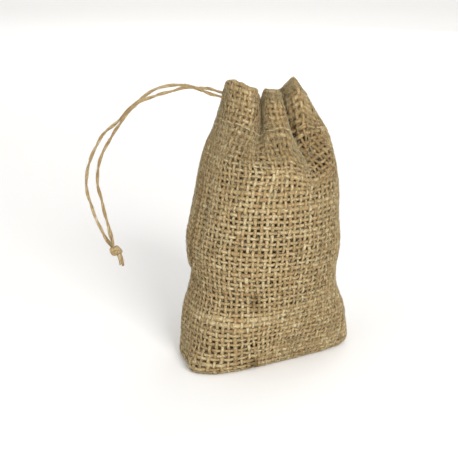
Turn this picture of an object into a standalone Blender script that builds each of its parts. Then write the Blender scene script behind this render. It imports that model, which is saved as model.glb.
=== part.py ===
"""Burlap drawstring sack: a small jute pouch that stands on its base, with its hemmed neck
gathered and both ends of its drawstring out at the left, tied together in a knot.

The sack is one cloth shell. Its skins are lofted through level rings around a vertical axis. A ring
starts at the left side seam and runs past the front, and its points lie an even length of cloth
apart. Tables below give the rings, the pleats of the neck and the dents of the wall.
Lengths are in millimetres up to the end, where MM turns them into metres. +Z is up, -Y is the front.
"""
import math
from collections import namedtuple

import bmesh
import bpy
import numpy as np
from mathutils import Vector

MM = 0.001

# Cloth
CLOTH = 1.1            # thickness of the single cloth
HEM_CLOTH = 1.6        # thickness of the doubled cloth of the hem
HEM_DEPTH = 16.0       # from the top edge down to the stitch line
STEP_HEIGHT = 3.0      # height over which the hem's inner ply ends
TOP = 118.5            # height of the level that the top edge rises and falls about
BASE_ROUND = 3.0       # radius of the turn from the wall to the base
SEAM_ANGLE = 205.0     # direction of the left side seam, from +X, anticlockwise seen from above

# Mesh
AROUND = 80            # points on a ring
FINE = 10              # steps between two points of a ring, for even spacing and normals
OUTLINE_FINE = 3200    # steps round a level's outline before it is spaced evenly
WALL_LEVELS = 22       # rings from the base's turn to the top edge
LEVEL_CROWDING = 1.25  # over 1, the wall's rings crowd towards the neck's pleats
TURN_STEPS = 3         # rings of the base's turn
UNDER_STEPS = (0.45, 0.93)  # how far the rings under the base have closed on the bottom seam
SEAM_SHARE = 0.88      # length of the bottom seam, as a share of the base's
EDGE_CROWN = 0.25      # how far the top edge is rounded up, as a share of the hem's thickness

# Level rings: a superellipse whose long axis is turned by yaw degrees
Section = namedtuple("Section", "height centre_x centre_y half_length half_depth squareness yaw")
SECTIONS = (
    Section(0, -0.6, -3.3, 39.3, 17.0, 4.4, 30.0),
    Section(10, -0.4, -0.6, 37.3, 21.5, 3.4, 30.0),
    Section(20, -0.5, 0.9, 35.5, 25.0, 2.8, 30.0),
    Section(30, -0.7, 0.9, 32.5, 27.0, 2.3, 30.0),
    Section(40, -1.5, 0.9, 32.3, 29.0, 2.2, 28.0),
    Section(50, -1.0, 0.9, 33.0, 30.0, 2.2, 26.0),
    Section(60, -0.3, 0.9, 31.4, 30.0, 2.2, 25.0),
    Section(70, 0.1, 0.9, 29.8, 29.0, 2.2, 24.0),
    Section(80, 1.0, 1.4, 29.0, 27.5, 2.2, 22.0),
    Section(90, 1.5, 1.9, 26.8, 25.0, 2.2, 20.0),
    Section(100, 2.2, 2.4, 23.7, 22.0, 2.2, 18.0),
    Section(110, 1.2, 2.9, 20.2, 19.0, 2.2, 14.0),
    Section(116, 0.4, 2.9, 18.2, 17.5, 2.2, 12.0),
    Section(124, -0.7, 2.9, 15.2, 16.0, 2.2, 12.0),
)

# Pleats of the gathered neck: valleys that run down from the top edge and fade out at "low".
# Angles are directions from the axis, in degrees, at the top edge and at the pleat's low end.
# A pleat's valley follows one thread of the cloth, so it is also a fixed point on every ring.
Pleat = namedtuple("Pleat", "name low_angle top_angle half_width depth low full")
PLEATS = (
    Pleat("front_left", 262, 253, 2.3, 8.0, 84, 112),
    Pleat("front_right", 314, 301, 2.4, 7.5, 80, 112),
    Pleat("right", 356, 347, 2.6, 7.5, 86, 115),
    Pleat("right_back", 392, 385, 2.5, 8.0, 83, 113),
    Pleat("back_right", 428, 422, 2.6, 7.0, 87, 114),
    Pleat("back_left", 464, 457, 2.4, 8.0, 80, 112),
    Pleat("left_back", 502, 494, 2.6, 7.5, 86, 114),
    Pleat("left", 540, 530, 2.5, 7.0, 90, 115),
)
GIRTH_LEVEL = 60.0     # the ring that says how much cloth lies between two pleats

# Dents (depth > 0) and swellings (depth < 0) of the wall, each a soft hill of its own size
Dent = namedtuple("Dent", "name angle height half_angle half_height slant depth")
DENTS = (
    Dent("right_hollow", 322, 93, 15, 10, 0.0, 4.0),
    Dent("hollow_pocket", 322, 79, 13, 2.6, 0.10, 2.0),
    Dent("under_pocket", 338, 72, 16, 6, 0.0, -1.2),
    Dent("side_crease", 213, 64, 4, 17, 0.0, 1.3),
    Dent("ear_notch", 192, 34, 13, 2.6, -0.05, 2.2),
    Dent("front_left_foot", 220, 2, 7, 6, 0.0, -2.3),
    Dent("corner_tuck", 197, 4, 10, 9, 0.0, 1.5),
    Dent("under_hem", 272, 98, 9, 3.0, 0.0, 1.2),
)

# How far the top edge lies above or below TOP, by direction
Rim = namedtuple("Rim", "angle rise")
RIM = (
    Rim(0, -6.0),
    Rim(45, -8.0),
    Rim(75, -10.0),
    Rim(97, -14.0),
    Rim(120, -11.0),
    Rim(140, -8.0),
    Rim(180, -2.0),
    Rim(215, 0.5),
    Rim(236, 0.0),
    Rim(244, -1.0),
    Rim(253, -8.0),
    Rim(261, -2.0),
    Rim(280, -1.5),
    Rim(298, -2.5),
    Rim(308, 2.5),
    Rim(322, -1.0),
    Rim(332, -2.5),
    Rim(345, -4.0),
)
RIM_FROM = 88.0        # the top edge's rise fades out down to this height
RIM_SOFTNESS = 12.0    # degrees over which the corners of the table's line are rounded
ROW_TILT = 0.075       # how much the rows of the cloth fall towards the right, above the base
TILT_FROM = (12.0, 40.0)

# Drawstring: its two ends leave the hem at the left, and the knot that joins them hangs free
TWINE = 1.5            # diameter
TWINE_STEP = 3.2       # distance between two points of a strand
ROUTE_FINE = 20        # steps between a route's points before it is spaced evenly
UPPER_ROUTE = (
    (-18.55, 0.1, 113.4), (-23.4, -0.2, 114.7), (-30.0, -0.4, 115.8), (-34.3, -0.7, 116.3),
    (-38.2, -0.9, 116.5), (-42.5, -1.2, 115.9), (-46.5, -1.4, 114.5), (-50.4, -1.7, 112.3),
    (-53.7, -2.0, 109.9), (-57.1, -2.2, 106.8), (-60.5, -2.5, 102.9), (-64.3, -2.7, 99.6),
    (-68.6, -3.0, 95.6), (-71.2, -3.2, 91.4), (-73.5, -3.5, 86.4), (-75.1, -3.8, 81.3),
    (-75.7, -4.0, 76.2), (-75.3, -4.3, 70.1), (-73.8, -4.5, 65.0), (-71.9, -4.8, 59.7),
    (-69.9, -5.0, 54.9), (-67.9, -5.3, 51.0), (-66.1, -5.5, 48.6),
)
LOWER_ROUTE = (
    (-18.55, -2.4, 111.4), (-22.8, -2.8, 112.9), (-27.3, -3.1, 114.8), (-30.9, -3.3, 116.0),
    (-34.2, -3.6, 115.9), (-38.1, -3.8, 114.9), (-42.4, -4.0, 113.7), (-46.9, -4.3, 112.3),
    (-51.4, -4.5, 110.5), (-55.2, -4.7, 107.8), (-58.1, -5.0, 105.0), (-60.3, -5.2, 101.7),
    (-62.6, -5.5, 98.6), (-65.2, -5.7, 94.5), (-67.8, -5.9, 89.7), (-69.8, -6.2, 84.9),
    (-70.6, -6.4, 79.8), (-70.6, -6.6, 75.1), (-69.5, -6.9, 70.0), (-68.4, -7.1, 64.4),
    (-66.9, -7.4, 58.3), (-65.8, -7.6, 53.1), (-65.2, -7.5, 49.2),
)
KNOT_AT = (-63.6, -6.6, 46.9)
KNOT_AXIS = (0.45, 0.0, -0.89)   # from the strands to the tails
KNOT_LENGTH = 4.6
KNOT_WIDTH = 5.0
KNOT_WRAPS = 3         # turns of twine that show round the knot
WRAP_RELIEF = 0.28     # how far a turn stands out of the knot
KNOT_AROUND = 24
KNOT_ALONG = 14
TAIL_TWINE = 1.3       # diameter of the tails, whose ends are a little untwisted
TAIL_STEP = 1.3
Tail = namedtuple("Tail", "name route")
TAILS = (
    Tail("drawstring_tail_front", ((-62.7, -7.5, 44.4), (-62.2, -7.7, 42.7), (-62.1, -7.8, 40.6))),
    Tail("drawstring_tail_back", ((-62.2, -5.7, 44.6), (-61.6, -5.6, 42.4), (-61.1, -5.7, 39.4))),
)


def smooth_step(value, low, high):
    """0 below low, 1 above high, with a smooth rise between them."""
    share = np.clip((value - low) / (high - low), 0.0, 1.0)
    return share * share * (3.0 - 2.0 * share)


def smooth_table(rows, place):
    """The rows' other columns at a place in their first column, on smooth curves through them."""
    table = np.array(rows, float)
    at = table[:, 0]
    slopes = np.gradient(table, at, axis=0)
    index = int(np.clip(np.searchsorted(at, place) - 1, 0, len(at) - 2))
    span = at[index + 1] - at[index]
    t = (place - at[index]) / span
    start, end = table[index], table[index + 1]
    rise = (3 - 2 * t) * t * t
    curve = (1 - t) * t * span * ((1 - t) * slopes[index] - t * slopes[index + 1])
    return (start + rise * (end - start) + curve)[1:]


def off_angle(angles, centre):
    """Angles counted from a centre, in degrees from -180 to 180."""
    return (angles - centre + 180.0) % 360.0 - 180.0


def rim_rise(angles):
    """Rise of the top edge at each of a level's angles."""
    turns = [(row.angle + 360.0 * turn, row.rise) for turn in (-1, 0, 1, 2) for row in RIM]
    table = np.array(turns)
    reach = int(0.5 * RIM_SOFTNESS / 360.0 * OUTLINE_FINE)
    step = 360.0 / OUTLINE_FINE
    wider = np.concatenate([angles[0] + step * np.arange(-reach, 0), angles,
                            angles[-1] + step * np.arange(1, reach + 1)])
    sharp = np.interp(wider, table[:, 0], table[:, 1])
    kernel = np.hanning(2 * reach + 1)
    return np.convolve(sharp, kernel / kernel.sum(), "valid")


def outline(height, inset=0.0):
    """The wall's outer face at a level: finely spaced points, and each one's direction."""
    centre_x, centre_y, length, depth, square, yaw = smooth_table(SECTIONS, height)
    angles = SEAM_ANGLE + np.linspace(0.0, 360.0, OUTLINE_FINE + 1)
    turned = np.radians(angles - yaw)
    hull = (np.abs(np.cos(turned) / (length - inset)) ** square
            + np.abs(np.sin(turned) / (depth - inset)) ** square) ** (-1.0 / square)
    radius = hull.copy()
    for pleat in PLEATS:
        grown = smooth_step(height, pleat.low, pleat.full)
        across = np.radians(off_angle(angles, pleat_angle(pleat, height))) * hull
        radius -= pleat.depth * grown * np.exp(-(across / pleat.half_width) ** 2)
    for dent in DENTS:
        aside = off_angle(angles, dent.angle)
        along = (height - dent.height - dent.slant * aside) / dent.half_height
        radius -= dent.depth * np.exp(-(aside / dent.half_angle) ** 2 - along ** 2)
    x = centre_x + radius * np.cos(np.radians(angles))
    y = centre_y + radius * np.sin(np.radians(angles))
    tilt = ROW_TILT * smooth_step(height, *TILT_FROM)
    z = height + rim_rise(angles) * smooth_step(height, RIM_FROM, TOP) - tilt * x
    return np.column_stack([x, y, z]), angles


def pleat_angle(pleat, height):
    """Direction of a pleat's valley at a level."""
    return pleat.low_angle + (pleat.top_angle - pleat.low_angle) * smooth_step(height, pleat.low, TOP)


def run_along(points):
    """Length of the line from its first point to each point."""
    return np.concatenate([[0.0], np.cumsum(np.linalg.norm(np.diff(points, axis=0), axis=1))])


def pleat_columns():
    """Which of the AROUND points of a ring lies in each pleat's valley."""
    points, angles = outline(GIRTH_LEVEL)
    run = run_along(points)
    at = np.interp([pleat.low_angle for pleat in PLEATS], angles, run) / run[-1]
    return np.round(at * AROUND)


def ring(height, inset=0.0):
    """Points of the wall's outer face at a level, evenly spaced along the cloth between pleats."""
    points, angles = outline(height, inset)
    run = run_along(points)
    valleys = np.interp([pleat_angle(pleat, height) for pleat in PLEATS], angles, run)
    columns = np.concatenate([[0.0], pleat_columns(), [AROUND]])
    places = np.interp(np.arange(AROUND * FINE) / FINE, columns, [0.0, *valleys, run[-1]])
    return np.column_stack([np.interp(places, run, points[:, axis]) for axis in range(3)])


def wall_levels():
    """Heights of the wall's rings, closer together where the neck's pleats are."""
    shares = np.linspace(0.0, 1.0, WALL_LEVELS)
    return BASE_ROUND + (TOP - BASE_ROUND) * (1.0 - (1.0 - shares) ** LEVEL_CROWDING)


def outer_rings():
    """Rings of the outer face, from under the base up to the top edge, and each one's cloth."""
    foot = ring(BASE_ROUND, BASE_ROUND)
    foot[:, 2] = 0.0
    centre_x, centre_y, _, _, _, yaw = smooth_table(SECTIONS, BASE_ROUND)
    long_way = np.array([math.cos(math.radians(yaw)), math.sin(math.radians(yaw)), 0.0])
    short_way = np.array([-long_way[1], long_way[0], 0.0])
    from_centre = foot - np.array([centre_x, centre_y, 0.0])
    rings = []
    for share in reversed(UNDER_STEPS):
        along = from_centre @ long_way * (1.0 - (1.0 - SEAM_SHARE) * share)
        across = from_centre @ short_way * (1.0 - share)
        rings.append(np.array([centre_x, centre_y, 0.0]) + np.outer(along, long_way)
                     + np.outer(across, short_way))
    rings.append(foot)
    for step in range(1, TURN_STEPS):
        turn = 0.5 * math.pi * step / TURN_STEPS
        level = ring(BASE_ROUND, BASE_ROUND * (1.0 - math.sin(turn)))
        level[:, 2] = BASE_ROUND * (1.0 - math.cos(turn))
        rings.append(level)
    heights = wall_levels()
    rings += [ring(height) for height in heights]
    below = len(rings) - len(heights)
    stitch = TOP - HEM_DEPTH
    hem = smooth_step(heights, stitch - STEP_HEIGHT, stitch)
    cloth = np.concatenate([np.full(below, CLOTH), CLOTH + (HEM_CLOTH - CLOTH) * hem])
    return np.array(rings), cloth


def outward(rings):
    """Unit normals of the outer face at the rings' points."""
    around = np.roll(rings, -1, axis=1) - np.roll(rings, 1, axis=1)
    up = np.gradient(rings, axis=0)
    normals = np.cross(around, up)
    flat = np.abs(rings[:, :, 2]).max(axis=1) < 1e-9
    normals[flat] = (0.0, 0.0, -1.0)
    return normals / np.linalg.norm(normals, axis=2, keepdims=True)


def sack_mesh():
    """The shell: outer face, top edge and inner face, as one closed body."""
    rings, cloth = outer_rings()
    normals = outward(rings)
    inner = (rings - normals * cloth[:, None, None])[:, ::FINE]
    outer = rings[:, ::FINE]
    edge = 0.5 * (outer[-1] + inner[-1])
    edge[:, 2] += EDGE_CROWN * HEM_CLOTH
    shell = bmesh.new()
    loops = []
    for level in [*outer, edge, *inner[::-1]]:
        loops.append([shell.verts.new(Vector(point) * MM) for point in level])
    for low, high in zip(loops, loops[1:]):
        for start in range(AROUND):
            end = (start + 1) % AROUND
            shell.faces.new((low[start], low[end], high[end], high[start]))
    shell.faces.new(reversed(loops[0]))
    shell.faces.new(loops[-1])
    bmesh.ops.triangulate(shell, faces=[f for f in shell.faces if len(f.verts) > 4])
    mesh = bpy.data.meshes.new("sack_body")
    shell.to_mesh(mesh)
    shell.free()
    return mesh


def smooth_route(points, step):
    """Even points on a smooth curve through a route's own points, both ends among them."""
    route = np.array(points, float)
    run = run_along(route)
    places = np.linspace(0.0, run[-1], ROUTE_FINE * len(route))
    table = np.column_stack([run, route])
    curve = np.array([smooth_table(table, place) for place in places])
    length = run_along(curve)
    count = max(3, int(round(length[-1] / step)) + 1)
    at = np.linspace(0.0, length[-1], count)
    return np.column_stack([np.interp(at, length, curve[:, axis]) for axis in range(3)])


def twine(name, route, diameter, step):
    """A curve of twine along a route, with round sides and closed ends."""
    points = smooth_route(route, step)
    curve = bpy.data.curves.new(name, "CURVE")
    curve.dimensions = "3D"
    curve.bevel_depth = 0.5 * diameter * MM
    curve.bevel_resolution = 2
    curve.use_fill_caps = True
    line = curve.splines.new("POLY")
    line.points.add(len(points) - 1)
    for place, point in zip(line.points, points):
        place.co = (*(point * MM), 1.0)
    line.use_smooth = True
    return curve


def knot_mesh():
    """A rounded knot with the turns of twine raised across it."""
    axis = Vector(KNOT_AXIS).normalized()
    turn = Vector((0.0, 0.0, 1.0)).rotation_difference(axis)
    knot = bmesh.new()
    bmesh.ops.create_uvsphere(knot, u_segments=KNOT_AROUND, v_segments=KNOT_ALONG, radius=1.0)
    for vert in knot.verts:
        along = math.asin(max(-1.0, min(1.0, vert.co.z)))
        around = math.atan2(vert.co.y, vert.co.x)
        ridge = math.cos(2.0 * KNOT_WRAPS * along + around) * math.cos(along)
        local = Vector((vert.co.x * KNOT_WIDTH, vert.co.y * KNOT_WIDTH, vert.co.z * KNOT_LENGTH)) / 2.0
        local += vert.co * WRAP_RELIEF * ridge
        vert.co = (turn @ local + Vector(KNOT_AT)) * MM
    mesh = bpy.data.meshes.new("drawstring_knot")
    knot.to_mesh(mesh)
    knot.free()
    return mesh


def clear_scene():
    """Removes the objects that the file starts with."""
    for thing in list(bpy.data.objects):
        bpy.data.objects.remove(thing)


def material(name, colour, roughness):
    """A Principled BSDF material with no metal in it."""
    made = bpy.data.materials.new(name)
    made.use_nodes = True
    shader = made.node_tree.nodes["Principled BSDF"]
    shader.inputs["Base Color"].default_value = (*colour, 1.0)
    shader.inputs["Roughness"].default_value = roughness
    shader.inputs["Metallic"].default_value = 0.0
    return made


def add(name, data, finish):
    """Puts an object in the scene with its material."""
    thing = bpy.data.objects.new(name, data)
    data.materials.append(finish)
    bpy.context.scene.collection.objects.link(thing)
    return thing


def make_sack():
    """The cloth of the sack with its hem."""
    mesh = sack_mesh()
    mesh.shade_smooth()
    add("sack_body", mesh, material("jute_hessian", (0.36, 0.26, 0.14), 0.95))


def make_drawstring():
    """The two strands, the knot and the two tails past it."""
    jute = material("jute_twine", (0.56, 0.42, 0.24), 0.85)
    add("drawstring_upper", twine("drawstring_upper", UPPER_ROUTE, TWINE, TWINE_STEP), jute)
    add("drawstring_lower", twine("drawstring_lower", LOWER_ROUTE, TWINE, TWINE_STEP), jute)
    mesh = knot_mesh()
    mesh.shade_smooth()
    add("drawstring_knot", mesh, jute)
    for tail in TAILS:
        add(tail.name, twine(tail.name, tail.route, TAIL_TWINE, TAIL_STEP), jute)


def main():
    """Builds the sack and its drawstring."""
    clear_scene()
    make_sack()
    make_drawstring()


main()
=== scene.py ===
"""Burlap drawstring sack, finished: each thread of its open jute weave, the turned and stitched hem,
the twisted twine of its drawstring with the knot, and the fibres that stand off them.

The threads lie on the sack's own surface, by the tables and formulas of its solid. Only the pleats
and the corners of the top edge are a little sharper here, and the finest creases are added. A place
on the cloth is given by thread, the number of the warp thread counted from the left side seam past
the front, and by row, the number of the weft thread counted up from the bottom seam, over the top
edge and down inside the hem. Lengths are in millimetres up to the mesh, where MM turns them to metres.
"""

import functools
import math
from collections import namedtuple

import bpy
import numpy as np
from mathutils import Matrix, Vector


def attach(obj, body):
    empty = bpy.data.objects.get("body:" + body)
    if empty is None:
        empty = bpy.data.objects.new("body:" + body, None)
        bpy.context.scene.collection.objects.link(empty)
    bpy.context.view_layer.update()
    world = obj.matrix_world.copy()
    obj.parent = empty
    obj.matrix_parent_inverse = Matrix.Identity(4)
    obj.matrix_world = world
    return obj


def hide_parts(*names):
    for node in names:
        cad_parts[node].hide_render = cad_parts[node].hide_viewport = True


bl_info = {
    "name": "Burlap Drawstring Sack",
    "version": (1, 0, 0),
    "blender": (4, 5, 0),
    "location": "3D View > Sidebar > Burlap Sack",
    "description": "Weaves, stitches and ties a small jute sack on its solid form",
    "category": "Add Mesh",
}

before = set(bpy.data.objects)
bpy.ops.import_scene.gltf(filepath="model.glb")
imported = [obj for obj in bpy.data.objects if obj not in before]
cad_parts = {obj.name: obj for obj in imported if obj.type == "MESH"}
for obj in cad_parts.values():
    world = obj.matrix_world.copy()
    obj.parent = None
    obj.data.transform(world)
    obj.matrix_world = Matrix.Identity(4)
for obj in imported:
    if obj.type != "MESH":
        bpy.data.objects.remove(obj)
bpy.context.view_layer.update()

MM = 0.001
BODY = "root"
TINY = 1e-12  # a length that counts as none

# ---------------------------------------------------------------- the sack's form, as in its solid

HEM_DEPTH = 16.0  # from the top edge down to the stitch line
STEP_HEIGHT = 3.0  # height over which the hem's inner ply ends
TOP = 118.5  # height of the level that the top edge rises and falls about
BASE_ROUND = 3.0  # radius of the turn from the wall to the base
SEAM_ANGLE = 205.0  # direction of the left side seam, from +X, anticlockwise seen from above
AROUND = 80  # columns of the solid's rings, which say where the pleats lie on the cloth
FINE = 10  # steps between two columns
OUTLINE_FINE = 3200  # steps round a level's outline before it is spaced evenly

# Levels of the wall: height, centre x, centre y, half length, half depth, squareness, yaw
SECTIONS = (
    (0, -0.6, -3.3, 39.3, 17.0, 4.4, 30.0),
    (10, -0.4, -0.6, 37.3, 21.5, 3.4, 30.0),
    (20, -0.5, 0.9, 35.5, 25.0, 2.8, 30.0),
    (30, -0.7, 0.9, 32.5, 27.0, 2.3, 30.0),
    (40, -1.5, 0.9, 32.3, 29.0, 2.2, 28.0),
    (50, -1.0, 0.9, 33.0, 30.0, 2.2, 26.0),
    (60, -0.3, 0.9, 31.4, 30.0, 2.2, 25.0),
    (70, 0.1, 0.9, 29.8, 29.0, 2.2, 24.0),
    (80, 1.0, 1.4, 29.0, 27.5, 2.2, 22.0),
    (90, 1.5, 1.9, 26.8, 25.0, 2.2, 20.0),
    (100, 2.2, 2.4, 23.7, 22.0, 2.2, 18.0),
    (110, 1.2, 2.9, 20.2, 19.0, 2.2, 14.0),
    (116, 0.4, 2.9, 18.2, 17.5, 2.2, 12.0),
    (124, -0.7, 2.9, 15.2, 16.0, 2.2, 12.0),
)
# Valleys of the gathered neck, from the top edge down to the level "low". A lean over 0 makes a
# valley's left side steeper, seen from outside, and one under 0 its right side.
Pleat = namedtuple("Pleat", "name low_angle top_angle half_width depth low full lean")
PLEATS = (
    Pleat("front_left", 262, 252, 2.8, 7.0, 84, 112, 0.5),
    Pleat("front_right", 313, 294, 2.0, 7.0, 80, 112, 0.2),
    Pleat("right", 356, 347, 2.6, 7.5, 86, 115, 0.0),
    Pleat("right_back", 392, 385, 2.5, 8.0, 83, 113, 0.2),
    Pleat("back_right", 428, 422, 2.6, 7.0, 87, 114, -0.3),
    Pleat("back_left", 464, 457, 2.4, 8.0, 80, 112, 0.1),
    Pleat("left_back", 502, 494, 2.6, 7.5, 86, 114, -0.2),
    Pleat("left", 540, 530, 2.5, 7.0, 90, 115, 0.0),
)
PLEATS_UPRIGHT = 104.0  # from here up the pleats keep their direction
GIRTH_LEVEL = 60.0  # the ring that says how much cloth lies between two pleats
Dent = namedtuple("Dent", "name angle height half_angle half_height slant depth")
DENTS = (
    Dent("right_hollow", 322, 93, 15, 10, 0.0, 4.0),
    Dent("hollow_pocket", 322, 79, 13, 2.6, 0.10, 2.0),
    Dent("under_pocket", 338, 72, 16, 6, 0.0, -1.2),
    Dent("side_crease", 213, 64, 4, 17, 0.0, 1.3),
    Dent("ear_notch", 192, 34, 13, 2.6, -0.05, 2.2),
    Dent("front_left_foot", 220, 2, 7, 6, 0.0, -2.3),
    Dent("corner_tuck", 197, 4, 10, 9, 0.0, 1.5),
    Dent("under_hem", 272, 98, 9, 3.0, 0.0, 1.2),
)
# Finer creases of the cloth, which the solid leaves out
CREASES = (
    Dent("gather_left", 258, 96, 1.6, 7.0, 0.0, 0.7),
    Dent("gather_middle", 268, 94, 1.4, 6.0, 0.0, 0.6),
    Dent("gather_right", 283, 95, 1.6, 7.5, 0.0, 0.6),
    Dent("ridge_below_hem", 300, 88, 2.6, 13.0, 0.0, -0.8),
    Dent("seam_line", 199.5, 62, 1.5, 34.0, 0.0, 1.3),
    Dent("far_seam_line", 25, 60, 1.3, 52.0, 0.0, 0.9),
)
# Rise of the top edge at some directions: (angle, rise)
RIM = (
    (0, -6.0), (45, -6.8), (75, -8.8), (97, -14.0), (120, -11.0), (140, -10.5), (180, -2.0),
    (215, 0.3), (234, -0.5), (249, -1.8), (252.5, -8.0), (256, -4.5), (262, -2.0), (280, -1.5),
    (296, -2.8), (300, 0.3), (305.5, 4.3), (322, -1.0), (332, -2.5), (345, -4.0),
)
RIM_FROM = 88.0  # the top edge's rise fades out down to this height
RIM_SOFTNESS = 6.0  # degrees over which the corners of the table's line are rounded
ROW_TILT = 0.075  # how much the rows of the cloth fall towards the right, above the base
TILT_FROM = (12.0, 40.0)
SEAM_SHARE = 0.88  # length of the bottom seam, as a share of the base's

# ---------------------------------------------------------------- the drawstring, as in its solids

UPPER_ROUTE = (
    (-18.55, 0.1, 113.4), (-23.4, -0.2, 114.7), (-30.0, -0.4, 115.8), (-34.3, -0.7, 116.3),
    (-38.2, -0.9, 116.5), (-42.5, -1.2, 115.9), (-46.5, -1.4, 114.5), (-50.4, -1.7, 112.3),
    (-53.7, -2.0, 109.9), (-57.1, -2.2, 106.8), (-60.5, -2.5, 102.9), (-64.3, -2.7, 99.6),
    (-68.6, -3.0, 95.6), (-71.2, -3.2, 91.4), (-73.5, -3.5, 86.4), (-75.1, -3.8, 81.3),
    (-75.7, -4.0, 76.2), (-75.3, -4.3, 70.1), (-73.8, -4.5, 65.0), (-71.9, -4.8, 59.7),
    (-69.9, -5.0, 54.9), (-67.9, -5.3, 51.0), (-66.1, -5.5, 48.6),
)
LOWER_ROUTE = (
    (-18.55, -2.4, 111.4), (-22.8, -2.8, 112.9), (-27.3, -3.1, 114.8), (-30.9, -3.3, 116.0),
    (-34.2, -3.6, 115.9), (-38.1, -3.8, 114.9), (-42.4, -4.0, 113.7), (-46.9, -4.3, 112.3),
    (-51.4, -4.5, 110.5), (-55.2, -4.7, 107.8), (-58.1, -5.0, 105.0), (-60.3, -5.2, 101.7),
    (-62.6, -5.5, 98.6), (-65.2, -5.7, 94.5), (-67.8, -5.9, 89.7), (-69.8, -6.2, 84.9),
    (-70.6, -6.4, 79.8), (-70.6, -6.6, 75.1), (-69.5, -6.9, 70.0), (-68.4, -7.1, 64.4),
    (-66.9, -7.4, 58.3), (-65.8, -7.6, 53.1), (-65.2, -7.5, 49.2),
)
KNOT_AT = (-63.6, -6.6, 46.9)
KNOT_LAY = (0.15, 0.0, -0.99)  # square to the knot's turns
KNOT_SHIFT = (-0.35, -0.5, 0.0)  # its turns lie this much off the solid's middle
FRONT_TAIL = ((-62.7, -7.5, 44.4), (-62.2, -7.7, 42.7), (-62.1, -7.8, 40.6))
BACK_TAIL = ((-62.2, -5.7, 44.6), (-61.6, -5.6, 42.4), (-61.1, -5.7, 39.4))
UPPER_LENGTH = 0.110  # metres of twine from the hem to the knot
LOWER_LENGTH = 0.103

# ---------------------------------------------------------------- the cloth's make

WARPS = 82  # threads up and down, round the whole sack
ROW_PITCH = 2.25  # distance between two weft threads on the wall
HEM_PITCH_SHARE = 0.92  # rows in the hem lie this much closer
CENTRE_DEPTH = 0.55  # the middle of the single cloth, below the outer face
OUTER_DEPTH = 0.45  # the middle of the hem's outer ply
FOLD_RADIUS = 0.6  # of the turn at the top edge
FOLD_DROP = 1.2  # the turn starts this far below the solid's top edge, which it then reaches
HEM_TURN = 1.5  # the inner ply runs on past the stitch line
FOOT_ROW = 8  # the rows below it, under and round the base, are a piece of their own
SAMPLES = (-0.25, 0.25)  # places on a thread beside each crossing, in pitches
WAVE = 0.37  # how far a thread swings over and under: its samples lie at 0.7 of that
THREAD_HALF_HEIGHT = 0.33  # half a thread's thickness
WIDEST_SHARE = 0.46  # half a warp's width is never more than this share of its room in the gathers
OWN_WIDTH = (0.09, 0.78, 1.25)  # spread of the threads' widths, the thinnest and the widest
WIDTH_SWINGS = ((0.16, 9.0), (0.12, 2.5))  # how much a thread's width swings, over how many samples
SLUBS = (0.5, 7.0, 0.75)  # how much thicker a slub is, its length, and how seldom it comes, up to 1
WARP_SWAY = ((0.13, 7.0), (0.07, 3.0))  # a warp's swings to its sides, in pitches, and their samples
WEFT_SWAY = ((0.14, 8.0), (0.08, 3.0))
# Thick wefts: each one's row, the thread at its middle, its half length in threads and how much thicker
THICK_WEFTS = ((17, 9.7, 14.0, 0.35), (18, 8.6, 13.0, 0.30), (27, 15.1, 6.5, 0.35), (42, 13.0, 5.4, 0.30))
TONE_SPREAD = 0.11  # of the threads' shades
SEAM_TURN = 8.0  # samples at each end of a weft over which it runs into itself at the seam
CUT_WIDTH = 200.0  # the flat cut: the girth

STITCH_LENGTH = 4.4
STITCH_GAP = 0.6
STITCH_HALF = 0.15  # half the thickness of the sewing thread
STITCH_ENDS = 0.15  # a stitch's ends lie this far above the cloth's middle
STITCH_ARCH = 0.62  # and its middle this much higher
STITCH_OFF = 0.12  # how far a stitch may lie off its row, in rows
STITCH_SLANT = 0.15  # and its far end off its near end
STITCH_SHADING = 1.4  # the painted shade of the folds darkens the stitches this much more than the yarn

FIBRE_LIFT = 0.45  # a fibre lies this far above the cloth's middle
FIBRE_LOOSE = 0.3  # and up to this much more
FIBRE_OFF = (1.5, 0.08)  # shape and scale of how far its end stands off
FIBRE_LENGTHS = 3.0  # shape of the lengths' spread
LOWEST_ROW = 3.0  # no stray fibre lies below it
MOST_BARED = 0.75  # share of the fibres that the most open weave lacks

PLY_HALF = 0.44  # half the thickness of one ply of the twine
PLY_RADIUS = 0.30  # from the twine's middle to its plies' middles
TWIST_PITCH = 17.0  # length of one turn of the plies
TWIST_SLIP = (1.6, 30.0)  # radians by which the twist runs unevenly, and over how many points
PLY_SWELL = (0.10, 9.0)  # how much a ply's thickness swings, and over how many points
PLY_END = ((0.0, 0.3, 0.8, 2.0), (0.45, 0.8, 0.95, 1.0))  # distance from its end, share of thickness
PARTING = (10.0, 5.0)  # the plies part between these distances from a strand's end
HAIR_LIFT = 0.62  # a hair starts this far off the twine's middle
HAIR_BEND = 1.2  # radians round the twine from where it starts to where it bends
KNOT_SIZE = (0.58, -0.44, 1.0)  # scales the knot's curve along its three axes
KNOT_APART = 0.40  # from the twine's middle to its strands' in the knot
KNOT_HALVES = (0.80, 0.72)  # half a strand's width and thickness in the knot
INTO_CASING = 2.2  # a strand runs on this far behind the hem's face
INTO_KNOT = 1.0  # and this far into the knot

YARN_SIDES = 6  # of a thread's cross-section
TWINE_SIDES = 8
FIBRE_SIDES = 3
YARN_SPIN = 0.8  # radians by which the streaks turn round a thread in a millimetre
PLY_SPIN = 1.2
STITCH_SPIN = 3.0

# ---------------------------------------------------------------- the view

TARGET = (-15.8, 0.9, 54.0)  # what the camera looks at
DISTANCE = 420.0
ELEVATION = 17.0
MM_PER_PIXEL = 0.432  # of the photograph, at the target
PHOTO_SIDE = 458
SENSOR = 36.0  # width of the camera's sensor


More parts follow.
